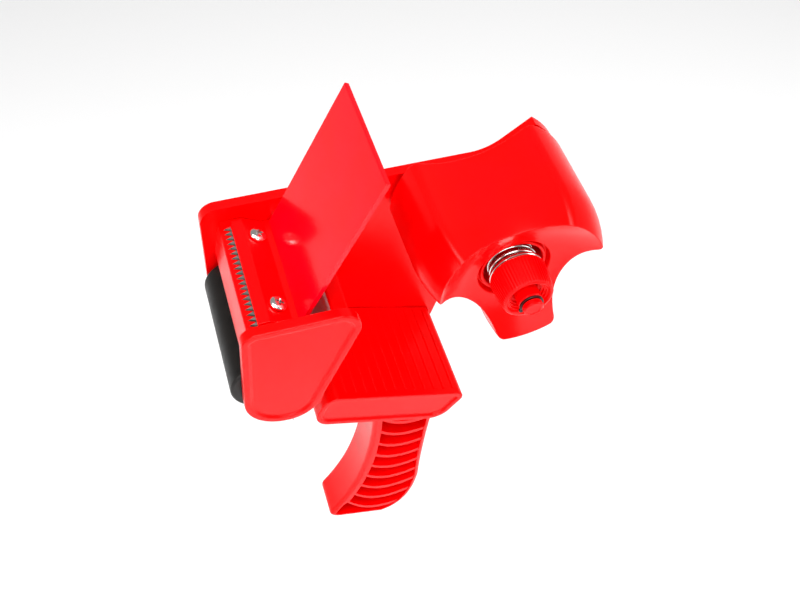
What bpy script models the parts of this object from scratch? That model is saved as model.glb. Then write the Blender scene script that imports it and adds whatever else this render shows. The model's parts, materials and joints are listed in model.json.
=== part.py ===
"""Hand-held tape gun dispenser for 48 mm packing tape on a 76 mm core.

Metres, +Z up, +X from the cutting head towards the tape hub, +Y towards the side
plate that carries everything. The origin is inside the pistol grip, just behind its
front wall and on the middle plane of the tape.
"""

import math

import bmesh
import bpy
from mathutils import Vector

MM = 0.001
GAP = 0.3 * MM
ROUND_STEPS = 20
ARC_STEP = math.radians(15)

# Side plate and head, across the tape
INNER_HALF_WIDTH = 29.0 * MM
PLATE_THICKNESS = 4.5 * MM
OUTER_HALF_WIDTH = INNER_HALF_WIDTH + PLATE_THICKNESS

# Tape hub, which turns about Y
HUB_X, HUB_Z = 52 * MM, 140 * MM
HUB_RADIUS = 38 * MM
HUB_FAR_Y = 25.6 * MM
HUB_RIM_Y = -16.6 * MM
HUB_TIP_Y = -26 * MM
HUB_STRAIGHT_Y = -5.6 * MM
HUB_TIP_TAPER = 4.4 * MM
LOBES = 3
LOBE_HALF_ANGLE = math.radians(21)
FIRST_LOBE = math.radians(41)
SCALLOP_DEPTH_RADIUS = 22.4 * MM
LOBE_CORNER_RADIUS = 4 * MM
RECESS_RADIUS = 15 * MM
SPRING_BORE_RADIUS = 12 * MM
SPRING_FLOOR_Y = -4.6 * MM
BOSS_BORE_RADIUS = 6.8 * MM
BOSS_RADIUS = 9.5 * MM
HUB_POCKET_RADIUS = 16 * MM
HUB_POCKET_Y = 4 * MM

# Spindle stack on the hub's axis
STUD_RADIUS = 4.8 * MM
STUD_TIP_RADIUS = 4.0 * MM
STUD_TIP_Y = -37.7 * MM
CLIP_Y = -35.3 * MM
CLIP_THICKNESS = 0.8 * MM
NUT_REAR_Y, NUT_FRONT_Y = -19.4 * MM, -32.4 * MM
NUT_REAR_RADIUS, NUT_FRONT_RADIUS = 11.3 * MM, 10.0 * MM
NUT_RIBS = 40
SPRING_RADIUS = 9.6 * MM
SPRING_WIRE = 0.7 * MM
SPRING_TURNS = 3.5

# Roller in the head
ROLLER_X, ROLLER_Z = -50.6 * MM, 115.5 * MM
ROLLER_RADIUS = 13 * MM
CORE_RADIUS = 8 * MM
AXLE_RADIUS = 3 * MM
ROLLER_HALF_LENGTH = 27.4 * MM
AXLE_SOCKET_DEPTH = 2.6 * MM

# Steel pin under the near cheek
PIN_X, PIN_Y, PIN_TIP_Z = -42.5 * MM, -31.2 * MM, 92.4 * MM
PIN_RADIUS = 1.1 * MM

# Blade, clamp and flap, all centred on the tape
CLAMP_HALF_WIDTH = 25.6 * MM
TEETH = 20
TOOTH_PITCH = 2.5 * MM
TOOTH_LENGTH = 3.0 * MM
BLADE_TIP_X, BLADE_REAR_X = -53.0 * MM, -47.0 * MM
BLADE_Z, BLADE_THICKNESS = 149.6 * MM, 0.6 * MM
SEAT_Z = BLADE_Z - GAP
PAD_SLOPE = math.radians(30)
PAD_RIDGE_X, PAD_RIDGE_Z = -45.6 * MM, 152.4 * MM
CLAMP_SCREW_X = -41.2 * MM
CLAMP_SCREW_HALF_SPACING = 17.3 * MM
FLAP_X, FLAP_Z = -34.4 * MM, 146.6 * MM
FLAP_LENGTH = 70.5 * MM
FLAP_THICKNESS = 1.8 * MM
FLAP_ANGLE = math.radians(63.5)

# Base block, tilted towards the hub, and the grip below it
BASE_X, BASE_Z = 2 * MM, 66 * MM
BASE_TILT = math.radians(-18.5)
BASE_NEAR_Y = -21 * MM
BASE_BOTTOM = -8.5 * MM
GRIP_HALF_WIDTH = 10 * MM
GRIP_WALL = 2.6 * MM
GRIP_FRONT_WALL = 4.2 * MM
GRIP_WEB = 4 * MM
GRIP_RIBS = 9
GRIP_FRONT_POINTS = 11
GRIP_RIB_PITCH = 9.6 * MM
GRIP_RIB_THICKNESS = 2.2 * MM
GRIP_RIB_SAG = 4.5 * MM

SCREW_SHANK_RADIUS = 1.6 * MM
SCREW_HOLE_RADIUS = SCREW_SHANK_RADIUS + GAP
SCREW_HEAD_RADIUS = 3.4 * MM
SCREW_HEAD_HEIGHT = 2.0 * MM
SCREW_SEAT_Y = OUTER_HALF_WIDTH - 2.3 * MM
STUD_SCREW_HEAD_RADIUS = 4.2 * MM

UP_Y = Vector((0, 1, 0))
UP_Z = Vector((0, 0, 1))


def clear_scene():
    for obj in list(bpy.data.objects):
        bpy.data.objects.remove(obj, do_unlink=True)


def make_material(name, colour, roughness, metallic=0.0):
    material = bpy.data.materials.new(name)
    material.use_nodes = True
    shader = material.node_tree.nodes["Principled BSDF"]
    shader.inputs["Base Color"].default_value = (*colour, 1)
    shader.inputs["Roughness"].default_value = roughness
    shader.inputs["Metallic"].default_value = metallic
    return material


def add_object(name, bm, material, origin=(0, 0, 0), cutter=False):
    """An object from a bmesh in world space, with its origin moved to a point."""
    bmesh.ops.remove_doubles(bm, verts=bm.verts, dist=1e-7)
    bmesh.ops.recalc_face_normals(bm, faces=bm.faces)
    bmesh.ops.translate(bm, verts=bm.verts, vec=-Vector(origin))
    mesh = bpy.data.meshes.new(name)
    bm.to_mesh(mesh)
    bm.free()
    obj = bpy.data.objects.new(name, mesh)
    obj.location = origin
    bpy.context.scene.collection.objects.link(obj)
    if cutter:
        obj.hide_render = True
        obj.display_type = "WIRE"
    else:
        mesh.materials.append(material)
        mesh.shade_smooth()
        mesh.set_sharp_from_angle(angle=math.radians(35))
    return obj


def arc(centre_x, centre_z, radius, start, end):
    steps = max(2, math.ceil(abs(end - start) / ARC_STEP))
    angles = [start + (end - start) * i / steps for i in range(steps + 1)]
    return [
        (centre_x + radius * math.cos(a), centre_z + radius * math.sin(a)) for a in angles
    ]


def filleted(corners):
    """A closed outline from (x, z, radius) corners in mm, each turned into an arc."""
    outline = []
    for i, (x, z, radius) in enumerate(corners):
        corner = Vector((x, z)) * MM
        if radius == 0:
            outline.append(tuple(corner))
            continue
        before = (Vector(corners[i - 1][:2]) * MM - corner).normalized()
        after = (Vector(corners[(i + 1) % len(corners)][:2]) * MM - corner).normalized()
        half = before.angle(after) / 2
        centre = corner + (before + after).normalized() * radius * MM / math.sin(half)
        start = corner + before * radius * MM / math.tan(half) - centre
        end = corner + after * radius * MM / math.tan(half) - centre
        first = math.atan2(start.y, start.x)
        sweep = (math.atan2(end.y, end.x) - first + math.pi) % (2 * math.pi) - math.pi
        outline += arc(centre.x, centre.y, radius * MM, first, first + sweep)
    return outline


def bezier(start, control, end, steps=8):
    """Points of a quadratic curve in mm, without its last one."""
    points = []
    for i in range(steps):
        t = i / steps
        points.append(
            tuple(
                ((1 - t) ** 2 * a + 2 * t * (1 - t) * b + t * t * c) * MM
                for a, b, c in zip(start, control, end)
            )
        )
    return points


def inset(outline, distances):
    """The outline moved inwards, by a distance for each point; it runs either way."""
    area = sum(
        a[0] * b[1] - b[0] * a[1] for a, b in zip(outline, outline[1:] + outline[:1])
    )
    side = 1 if area > 0 else -1
    moved = []
    for i, point in enumerate(outline):
        before = (Vector(point) - Vector(outline[i - 1])).normalized()
        after = (Vector(outline[(i + 1) % len(outline)]) - Vector(point)).normalized()
        normal = Vector((-before.y - after.y, before.x + after.x)) * side
        scale = distances[i] / max(0.4, normal.length / 2)
        moved.append(tuple(Vector(point) + normal.normalized() * scale))
    return moved


def on_base(along, across):
    """World (x, z) in mm of a point on the base block's tilted axes, in mm."""
    cos, sin = math.cos(BASE_TILT), math.sin(BASE_TILT)
    return (
        BASE_X / MM + along * cos - across * sin,
        BASE_Z / MM + along * sin + across * cos,
    )


def prism_mesh(outline, near_y, far_y):
    bm = bmesh.new()
    near = [bm.verts.new((x, near_y, z)) for x, z in outline]
    far = [bm.verts.new((x, far_y, z)) for x, z in outline]
    bm.faces.new(near)
    bm.faces.new(far[::-1])
    for i in range(len(outline)):
        j = (i + 1) % len(outline)
        bm.faces.new((near[i], far[i], far[j], near[j]))
    bmesh.ops.recalc_face_normals(bm, faces=bm.faces)
    return bm


def recess_near_face(bm, rim, depth):
    """Sinks the face that looks towards -Y, inside a flat rim."""
    bm.faces.ensure_lookup_table()
    face = max(
        (f for f in bm.faces if f.normal.y < -0.99), key=lambda f: f.calc_area()
    )
    bmesh.ops.inset_region(bm, faces=[face], thickness=rim)
    bmesh.ops.inset_region(bm, faces=[face], thickness=depth / 2, depth=-depth)


def ring_mesh(rings, closed):
    """A surface through rings of points; it closes on itself or ends in two caps."""
    bm = bmesh.new()
    rows = [[bm.verts.new(point) for point in ring] for ring in rings]
    pairs = list(zip(rows, rows[1:]))
    if closed:
        pairs.append((rows[-1], rows[0]))
    else:
        bm.faces.new(rows[0])
        bm.faces.new(rows[-1][::-1])
    for one, other in pairs:
        for i in range(len(one)):
            j = (i + 1) % len(one)
            bm.faces.new((one[i], other[i], other[j], one[j]))
    return bm


def circle(centre, axis, radius, steps=ROUND_STEPS):
    side = axis.orthogonal().normalized()
    other = axis.cross(side)
    turns = [2 * math.pi * i / steps for i in range(steps)]
    return [
        centre + radius * (math.cos(a) * side + math.sin(a) * other) for a in turns
    ]


def turned(name, profile, material, place, axis=UP_Y, closed=True, steps=ROUND_STEPS,
           cutter=False):
    """A turned solid: profile holds (radius, distance along the axis from place)."""
    place = Vector(place)
    axis = axis.normalized()
    rings = [circle(place + axis * far, axis, radius, steps) for radius, far in profile]
    return add_object(name, ring_mesh(rings, closed), material, place, cutter)


def rod(name, radius, place, axis, length):
    """A hidden cylinder for a Boolean cut."""
    profile = [(radius, 0), (radius, length)]
    return turned(name, profile, None, place, axis, closed=False, cutter=True)


def apply_boolean(obj, other, operation="DIFFERENCE"):
    modifier = obj.modifiers.new(f"{operation.lower()} {other.name}", "BOOLEAN")
    modifier.operation = operation
    modifier.solver = "EXACT"
    modifier.object = other


def bevel(obj, width, segments=2, angle=50):
    modifier = obj.modifiers.new("edge rounding", "BEVEL")
    modifier.width = width
    modifier.segments = segments
    modifier.limit_method = "ANGLE"
    modifier.angle_limit = math.radians(angle)
    modifier.use_clamp_overlap = True


def screw(name, place, axis, length, material, head_radius=SCREW_HEAD_RADIUS):
    """A pan-head screw; place is the middle of its head's underside."""
    rise = SCREW_HEAD_HEIGHT
    profile = [
        (0.3 * head_radius, rise),
        (0.75 * head_radius, 0.85 * rise),
        (head_radius, 0.35 * rise),
        (head_radius, 0),
        (SCREW_SHANK_RADIUS, 0),
        (SCREW_SHANK_RADIUS, -length + 1 * MM),
        (0.6 * MM, -length),
    ]
    return turned(name, profile, material, place, axis, closed=False, steps=12)


def plate_outline():
    """The side plate: head cheek, top edge, round hub end, neck and base."""
    disc_radius = 37 * MM
    head = [(-49, 97.5, 14), (-62, 99, 14), (-60.9, 156, 7), (57, 156, 22)]
    base = [
        (50, 103.6, 6),
        (*on_base(35.5, 4), 4),
        (*on_base(27, BASE_BOTTOM / MM), 9),
        (*on_base(-33.5, BASE_BOTTOM / MM), 7),
        (*on_base(-32.5, 14), 8),
    ]
    disc = [
        (x / MM, z / MM, 0)
        for x, z in arc(HUB_X, HUB_Z, disc_radius, math.radians(52), math.radians(-85))
    ]
    return filleted(head + disc + base)


def make_side_plate(material):
    bm = prism_mesh(plate_outline(), INNER_HALF_WIDTH, OUTER_HALF_WIDTH)
    plate = add_object("side_plate", bm, material)
    bevel(plate, 1.2 * MM)
    holes = [(HUB_X, HUB_Z)] + head_screw_places() + base_screw_places()
    for i, (x, z) in enumerate(holes, 1):
        place = (x, INNER_HALF_WIDTH - 2 * MM, z)
        hole = rod(f"plate_hole_{i}", SCREW_HOLE_RADIUS, place, UP_Y, 10 * MM)
        head = STUD_SCREW_HEAD_RADIUS if i == 1 else SCREW_HEAD_RADIUS
        place = (x, SCREW_SEAT_Y - GAP, z)
        seat = rod(f"plate_seat_{i}", head + 2 * GAP, place, UP_Y, 10 * MM)
        apply_boolean(plate, hole)
        apply_boolean(plate, seat)
    place = (ROLLER_X, INNER_HALF_WIDTH - 1 * MM, ROLLER_Z)
    length = AXLE_SOCKET_DEPTH + 1 * MM
    socket = rod("plate_axle_socket", AXLE_RADIUS + GAP, place, UP_Y, length)
    apply_boolean(plate, socket)


def head_screw_places():
    return [(-48.6 * MM, 144.4 * MM), (-19.9 * MM, 146.6 * MM), (-30.5 * MM, 104 * MM)]


def base_screw_places():
    return [tuple(v * MM for v in on_base(along, 1)) for along in (-23, 20)]


def make_head_frame(material):
    """Near cheek with the front bridge, the rear web and the lower tie bar."""
    cheek = filleted(
        [(-60.5, 97.5, 16), (-57.5, 156, 6), (-9.9, 156, 8), (-34.5, 97.5, 13)]
    )
    bm = prism_mesh(cheek, -OUTER_HALF_WIDTH, -INNER_HALF_WIDTH)
    recess_near_face(bm, 2.6 * MM, 0.9 * MM)
    frame = add_object("head_frame", bm, material)
    bevel(frame, 0.7 * MM)
    slope = math.tan(PAD_SLOPE)
    seat_end_z = SEAT_Z / MM - 7.2 * slope
    bridge = filleted(
        [
            (-57.3, 132.5, 0.8),
            (-54.3, SEAT_Z / MM, 1.0),
            (-45.4, SEAT_Z / MM, 0),
            (-38.2, seat_end_z, 0),
            (-32.6, seat_end_z, 0.8),
            (-32.6, 140, 0.8),
            (-54.0, 140, 0),
            (-55.4, 132.5, 0.8),
        ]
    )
    web = filleted(
        [
            (-16.6, 150.6, 1),
            (-23.2, 150.6, 1),
            (-23.6, 143.2, 0),
            (-28.8, 123, 1),
            (-25.0, 123, 1),
            (-17.6, 142, 0),
        ]
    )
    tie = filleted([(-36, 99, 2), (-36, 107, 2), (-27.5, 110, 2), (-30, 99.5, 3)])
    overlap = 1.5 * MM
    near_y = -INNER_HALF_WIDTH - overlap
    for name, outline in (("bridge", bridge), ("web", web), ("tie", tie)):
        bm = prism_mesh(outline, near_y, INNER_HALF_WIDTH - GAP)
        piece = add_object(f"head_{name}_bar", bm, None, cutter=True)
        apply_boolean(frame, piece, "UNION")
    for i, (x, z) in enumerate(head_screw_places(), 1):
        place = (x, INNER_HALF_WIDTH + 1 * MM, z)
        hole = rod(f"head_hole_{i}", SCREW_HOLE_RADIUS, place, -UP_Y, 11 * MM)
        apply_boolean(frame, hole)
    for label, y in clamp_screw_rows():
        hole = rod(
            f"clamp_pilot_{label}", SCREW_HOLE_RADIUS, pad_point(y, 1 * MM),
            -pad_normal(), 12 * MM,
        )
        apply_boolean(frame, hole)
    place = (ROLLER_X, -INNER_HALF_WIDTH + 1 * MM, ROLLER_Z)
    length = AXLE_SOCKET_DEPTH + 1 * MM
    socket = rod("head_axle_socket", AXLE_RADIUS + GAP, place, -UP_Y, length)
    apply_boolean(frame, socket)
    place = (PIN_X, PIN_Y, PIN_TIP_Z - 2.4 * MM)
    pin_hole = rod("cheek_pin_hole", PIN_RADIUS + GAP, place, UP_Z, 13.5 * MM)
    apply_boolean(frame, pin_hole)


def make_cheek_pin(material):
    """A steel pin up into the near cheek's lower edge, with its tip showing."""
    profile = [(0.4 * MM, 0), (PIN_RADIUS, 1.5 * MM), (PIN_RADIUS, 10.8 * MM)]
    place = (PIN_X, PIN_Y, PIN_TIP_Z)
    turned("cheek_pin", profile, material, place, UP_Z, closed=False, steps=12)


def pad_normal():
    return Vector((math.sin(PAD_SLOPE), 0, math.cos(PAD_SLOPE)))


def pad_point(y, lift):
    """A point over the clamp's sloping top, where a clamp screw stands."""
    z = PAD_RIDGE_Z - (CLAMP_SCREW_X - PAD_RIDGE_X) * math.tan(PAD_SLOPE)
    return Vector((CLAMP_SCREW_X, y, z)) + pad_normal() * lift


def clamp_screw_rows():
    return (("near", -CLAMP_SCREW_HALF_SPACING), ("far", CLAMP_SCREW_HALF_SPACING))


def make_cutter_blade(material):
    """A flat strip with its teeth pointing out over the head's front lip."""
    half = TEETH * TOOTH_PITCH / 2
    outline = [(BLADE_REAR_X, half), (BLADE_REAR_X, -half)]
    root_x = BLADE_TIP_X + TOOTH_LENGTH
    for i in range(TEETH):
        y = -half + i * TOOTH_PITCH
        outline += [(root_x, y), (BLADE_TIP_X, y + TOOTH_PITCH / 2)]
    outline.append((root_x, half))
    rings = [
        [Vector((x, y, z)) for x, y in outline]
        for z in (BLADE_Z, BLADE_Z + BLADE_THICKNESS)
    ]
    add_object("cutter_blade", ring_mesh(rings, False), material)


def make_clamp(plastic, steel):
    """The pad that holds the blade down, and its two screws."""
    slope = math.tan(PAD_SLOPE)
    valley_z = PAD_RIDGE_Z / MM - 8.3 * slope
    under_z = BLADE_Z / MM + BLADE_THICKNESS / MM + 0.3
    pad = filleted(
        [
            (-50, under_z, 0),
            (-50, 151.9, 0.6),
            (PAD_RIDGE_X / MM, PAD_RIDGE_Z / MM, 0.8),
            (PAD_RIDGE_X / MM + 8.3, valley_z, 0),
            (-35.7, valley_z, 0),
            (-35.7, valley_z - 2.2, 0),
            (-38.3, valley_z - 2.2, 0),
            (-46.3, under_z, 0),
        ]
    )
    bm = prism_mesh(pad, -CLAMP_HALF_WIDTH, CLAMP_HALF_WIDTH)
    clamp = add_object("blade_clamp", bm, plastic)
    for label, y in clamp_screw_rows():
        hole = rod(
            f"clamp_hole_{label}", SCREW_HOLE_RADIUS, pad_point(y, 3 * MM),
            -pad_normal(), 10 * MM,
        )
        apply_boolean(clamp, hole)
        screw(f"clamp_screw_{label}", pad_point(y, GAP), pad_normal(), 9 * MM, steel)


def make_flap(material):
    """The tall tape flap; it bends at its rounded root, which is its origin."""
    along = Vector((math.cos(FLAP_ANGLE), math.sin(FLAP_ANGLE)))
    radius = FLAP_THICKNESS / 2
    root = arc(FLAP_X, FLAP_Z, radius, FLAP_ANGLE + math.pi / 2, FLAP_ANGLE + 1.5 * math.pi)
    top = [tuple(Vector(end) + along * FLAP_LENGTH) for end in (root[-1], root[0])]
    bm = prism_mesh(root + top, -CLAMP_HALF_WIDTH, CLAMP_HALF_WIDTH)
    add_object("flap", bm, material, (FLAP_X, 0, FLAP_Z))


def make_roller(rubber, plastic, steel):
    half = ROLLER_HALF_LENGTH
    edge = 1 * MM
    place = (ROLLER_X, 0, ROLLER_Z)
    inner = CORE_RADIUS + GAP
    sleeve = [
        (inner, -half),
        (ROLLER_RADIUS - edge, -half),
        (ROLLER_RADIUS, -half + edge),
        (ROLLER_RADIUS, half - edge),
        (ROLLER_RADIUS - edge, half),
        (inner, half),
    ]
    turned("roller_sleeve", sleeve, rubber, place, steps=32)
    bore = AXLE_RADIUS + GAP
    reach = half + 1 * MM
    core = [(bore, -reach), (CORE_RADIUS, -reach), (CORE_RADIUS, reach), (bore, reach)]
    turned("roller_core", core, plastic, place)
    end = INNER_HALF_WIDTH + AXLE_SOCKET_DEPTH - GAP
    axle = [(AXLE_RADIUS, -end), (AXLE_RADIUS, end)]
    turned("roller_axle", axle, steel, place, closed=False)


def star_radius(angle):
    """The hub's outline: round lobes with a hollow arc between each two."""
    step = 2 * math.pi / LOBES
    turn = (angle - FIRST_LOBE + step / 2) % step - step / 2
    half = step / 2 - LOBE_HALF_ANGLE
    chord, middle = HUB_RADIUS * math.sin(half), HUB_RADIUS * math.cos(half)
    sagitta = middle - SCALLOP_DEPTH_RADIUS
    radius = (chord**2 + sagitta**2) / (2 * sagitta)
    centre = SCALLOP_DEPTH_RADIUS + radius
    off = step / 2 - abs(turn)
    corner, reach = LOBE_CORNER_RADIUS, HUB_RADIUS - LOBE_CORNER_RADIUS
    far = radius + corner
    corner_off = math.acos((reach**2 + centre**2 - far**2) / (2 * reach * centre))
    if off >= corner_off:
        return HUB_RADIUS
    touch_x = centre - (centre - reach * math.cos(corner_off)) * radius / far
    touch_z = reach * math.sin(corner_off) * radius / far
    if off > math.atan2(touch_z, touch_x):
        slip = off - corner_off
        return reach * math.cos(slip) + math.sqrt(
            corner**2 - (reach * math.sin(slip)) ** 2
        )
    return centre * math.cos(off) - math.sqrt(radius**2 - (centre * math.sin(off)) ** 2)


def hub_angles():
    """Even steps over each lobe, its two corners and the hollow after it."""
    step = 2 * math.pi / LOBES
    corner = math.radians(7)
    lobe, hollow = 2 * (LOBE_HALF_ANGLE - corner / 2), step - 2 * LOBE_HALF_ANGLE - corner
    angles = []
    for i in range(LOBES):
        start = FIRST_LOBE + i * step - lobe / 2
        for wide, steps in ((lobe, 3), (corner, 3), (hollow, 7), (corner, 3)):
            angles += [start + wide * k / steps for k in range(steps)]
            start += wide
    return angles


def nose_taper(y):
    """How far the hub's side leans in towards its near tips."""
    share = max(0, (HUB_STRAIGHT_Y - y) / (HUB_STRAIGHT_Y - HUB_TIP_Y))
    return HUB_TIP_TAPER * share**2


def face_y(radius):
    """The near face is dished: its tips stand nearer than the recess rim."""
    tip = HUB_RADIUS - HUB_TIP_TAPER
    share = (radius - RECESS_RADIUS) / (tip - RECESS_RADIUS)
    return HUB_RIM_Y + (HUB_TIP_Y - HUB_RIM_Y) * share * abs(share)


def hub_point(angle, radius, y):
    return Vector((HUB_X + radius * math.cos(angle), y, HUB_Z + radius * math.sin(angle)))


def make_hub(material):
    angles = hub_angles()
    rings = []
    for share in (0, 0.5, 0.92):
        ring = []
        for a in angles:
            edge = star_radius(a)
            edge -= nose_taper(face_y(edge)) * (edge / HUB_RADIUS)
            radius = RECESS_RADIUS + (edge - RECESS_RADIUS) * share
            ring.append(hub_point(a, radius, face_y(radius)))
        rings.append(ring)
    for share in (0.06, 0.5, 1):
        ring = []
        for a in angles:
            outer = star_radius(a)
            start = face_y(outer - nose_taper(face_y(outer)) * outer / HUB_RADIUS)
            y = start + (HUB_STRAIGHT_Y - start) * share
            ring.append(hub_point(a, outer - nose_taper(y) * outer / HUB_RADIUS, y))
        rings.append(ring)
    rings.append([hub_point(a, star_radius(a), HUB_FAR_Y) for a in angles])
    inner = [
        (HUB_POCKET_RADIUS, HUB_FAR_Y),
        (HUB_POCKET_RADIUS, HUB_POCKET_Y),
        (BOSS_RADIUS, HUB_POCKET_Y),
        (BOSS_RADIUS, HUB_FAR_Y),
        (BOSS_BORE_RADIUS, HUB_FAR_Y),
        (BOSS_BORE_RADIUS, SPRING_FLOOR_Y),
        (SPRING_BORE_RADIUS, SPRING_FLOOR_Y),
        (SPRING_BORE_RADIUS, HUB_RIM_Y + 1.8 * MM),
        (RECESS_RADIUS - 1 * MM, HUB_RIM_Y + 1.8 * MM),
    ]
    for radius, y in inner:
        rings.append([hub_point(a, radius, y) for a in angles])
    add_object("hub", ring_mesh(rings, True), material, (HUB_X, 0, HUB_Z))


def on_hub(y):
    return (HUB_X, y, HUB_Z)


def washer(name, inner, outer, near_y, thickness, material):
    profile = [(inner, 0), (outer, 0), (outer, thickness), (inner, thickness)]
    turned(name, profile, material, on_hub(near_y))


def make_stud(plastic, steel):
    """The fixed spindle, screwed on from outside, grooved for its clip."""
    far_y = INNER_HALF_WIDTH - GAP
    groove = 3.2 * MM
    hole_end = far_y - 12 * MM
    profile = [
        (0.5 * MM, STUD_TIP_Y),
        (STUD_TIP_RADIUS - 0.4 * MM, STUD_TIP_Y),
        (STUD_TIP_RADIUS, STUD_TIP_Y + 0.4 * MM),
        (STUD_TIP_RADIUS, CLIP_Y - GAP),
        (groove, CLIP_Y - GAP),
        (groove, CLIP_Y + CLIP_THICKNESS + GAP),
        (STUD_RADIUS, CLIP_Y + CLIP_THICKNESS + GAP),
        (STUD_RADIUS, far_y),
        (SCREW_HOLE_RADIUS, far_y),
        (SCREW_HOLE_RADIUS, hole_end),
        (0.5 * MM, hole_end),
    ]
    turned("hub_stud", profile, plastic, on_hub(0), closed=False)
    screw("stud_screw", on_hub(SCREW_SEAT_Y), UP_Y, 11 * MM, steel, STUD_SCREW_HEAD_RADIUS)


def make_clip(material):
    """An open ring in the stud's groove, with an eye at each end of its gap."""
    inner, outer = 3.5 * MM, 5.3 * MM
    opening = math.radians(38)
    middle = math.radians(250)
    start, end = middle + opening, middle + 2 * math.pi - opening
    outline = arc(HUB_X, HUB_Z, outer, start, end) + arc(HUB_X, HUB_Z, inner, end, start)
    bm = prism_mesh(outline, CLIP_Y, CLIP_Y + CLIP_THICKNESS)
    add_object("retaining_clip", bm, material)


def make_nut(material):
    """The tension knob: a ribbed cone with a stepped mouth round the clip."""
    bore = STUD_RADIUS + GAP
    steps = NUT_RIBS * 2
    profile = [
        (bore, NUT_REAR_Y, 0),
        (NUT_REAR_RADIUS - 0.6 * MM, NUT_REAR_Y, 0),
        (NUT_REAR_RADIUS, NUT_REAR_Y - 0.6 * MM, 1),
        (NUT_FRONT_RADIUS, NUT_FRONT_Y + 0.6 * MM, 1),
        (NUT_FRONT_RADIUS - 0.6 * MM, NUT_FRONT_Y, 0),
        (8.8 * MM, NUT_FRONT_Y, 0),
        (7.6 * MM, NUT_FRONT_Y + 2.2 * MM, 0),
        (6.0 * MM, NUT_FRONT_Y + 5 * MM, 0),
        (bore, NUT_FRONT_Y + 5 * MM, 0),
    ]
    rib = 0.35 * MM
    rings = []
    for radius, y, ribbed in profile:
        ring = circle(Vector(on_hub(y)), UP_Y, radius, steps)
        if ribbed:
            centre = Vector(on_hub(y))
            ring = [
                p + (p - centre).normalized() * (rib if i % 2 else -rib) * 0.5
                for i, p in enumerate(ring)
            ]
        rings.append(ring)
    add_object("tension_nut", ring_mesh(rings, True), material, on_hub(NUT_REAR_Y))


def make_spring(material):
    """Round wire wound between the two washers."""
    steps_per_turn = 14
    count = round(SPRING_TURNS * steps_per_turn)
    near_y = NUT_REAR_Y + 2.0 * MM + SPRING_WIRE
    far_y = SPRING_FLOOR_Y - 1.7 * MM - SPRING_WIRE
    curve = bpy.data.curves.new("tension_spring", "CURVE")
    curve.dimensions = "3D"
    curve.bevel_depth = SPRING_WIRE
    curve.bevel_resolution = 1
    curve.use_fill_caps = True
    spline = curve.splines.new("POLY")
    spline.points.add(count)
    for i, point in enumerate(spline.points):
        share = i / count
        angle = 2 * math.pi * SPRING_TURNS * share
        place = hub_point(angle, SPRING_RADIUS, near_y + (far_y - near_y) * share)
        point.co = (*place, 1)
    curve.materials.append(material)
    spring = bpy.data.objects.new("tension_spring", curve)
    bpy.context.scene.collection.objects.link(spring)


def make_hub_stack(plastic, dark, steel):
    make_stud(plastic, steel)
    make_clip(dark)
    make_nut(plastic)
    make_spring(steel)
    bush = STUD_RADIUS + GAP
    length = HUB_FAR_Y - SPRING_FLOOR_Y - 3 * GAP
    washer("hub_bush", bush, BOSS_BORE_RADIUS - GAP, SPRING_FLOOR_Y + GAP, length, dark)
    washer("friction_washer", bush, 11.2 * MM, SPRING_FLOOR_Y - 1.3 * MM, 1 * MM, steel)
    washer("thrust_washer", bush, 11.0 * MM, NUT_REAR_Y + GAP, 1.2 * MM, steel)
    thickness = INNER_HALF_WIDTH - HUB_FAR_Y - 2 * GAP
    washer("back_washer", bush, BOSS_RADIUS, HUB_FAR_Y + GAP, thickness, dark)


def make_base_block(material):
    outline = filleted(
        [
            (*on_base(-32, 10), 7),
            (*on_base(34.5, 10), 3.5),
            (*on_base(28, BASE_BOTTOM / MM), 9),
            (*on_base(-33.5, BASE_BOTTOM / MM), 7),
        ]
    )
    bm = prism_mesh(outline, BASE_NEAR_Y, INNER_HALF_WIDTH - GAP)
    recess_near_face(bm, 2.2 * MM, 0.9 * MM)
    block = add_object("base_block", bm, material)
    bevel(block, 0.7 * MM)
    hollow = filleted(
        [
            (*on_base(-15, 7), 2),
            (*on_base(13, 7), 2),
            (*on_base(13, -1.5), 2),
            (*on_base(-15, -1.5), 2),
        ]
    )
    bm = prism_mesh(hollow, BASE_NEAR_Y + 4 * MM, INNER_HALF_WIDTH + 5 * MM)
    apply_boolean(block, add_object("base_hollow", bm, None, cutter=True))
    for i, (x, z) in enumerate(base_screw_places(), 1):
        place = (x, INNER_HALF_WIDTH + 1 * MM, z)
        hole = rod(f"base_hole_{i}", SCREW_HOLE_RADIUS, place, -UP_Y, 11 * MM)
        apply_boolean(block, hole)
    for i, (foot, axis) in enumerate(grip_screw_feet(), 1):
        hole = rod(f"base_grip_hole_{i}", SCREW_HOLE_RADIUS, foot, -axis, 9.6 * MM)
        apply_boolean(block, hole)


def grip_outline():
    """The pistol grip's side outline, from its top front corner down its front."""
    under = BASE_BOTTOM / MM - 0.3
    front_top = on_base(-1.2, under)
    back_top = on_base(31, under)
    heel, toe = (22.8, -20.0), (-22.8, -37.0)
    points = bezier(front_top, (0.6, -3.0), toe)
    points += bezier(toe, (-26.0, -42.6), (-17.2, -44.9), 4)
    points += bezier((-17.2, -44.9), (-8, -47.5), (3.0, -50.6), 1)
    points += bezier((3.0, -50.6), (19.5, -48.5), heel, 6)
    points += bezier(heel, (23.2, 5.0), back_top, 5)
    points.append(tuple(v * MM for v in back_top))
    return points


def grip_rib(index):
    """The outline of one rib, sagging between the grip's front and back."""
    depth = -22.0 - index * GRIP_RIB_PITCH / MM
    left, right, steps = -22, 22, 10
    sag = GRIP_RIB_SAG / MM
    thick = GRIP_RIB_THICKNESS / MM
    middle = 19.5 + 1.5 * index
    upper = []
    for i in range(steps + 1):
        along = middle + left + (right - left) * i / steps
        bend = sag * ((along - middle) / 13) ** 2 - sag
        upper.append(on_base(along, depth + bend))
    lower = [(x, z - thick) for x, z in reversed(upper)]
    return [(x * MM, z * MM) for x, z in upper + lower]


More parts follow.
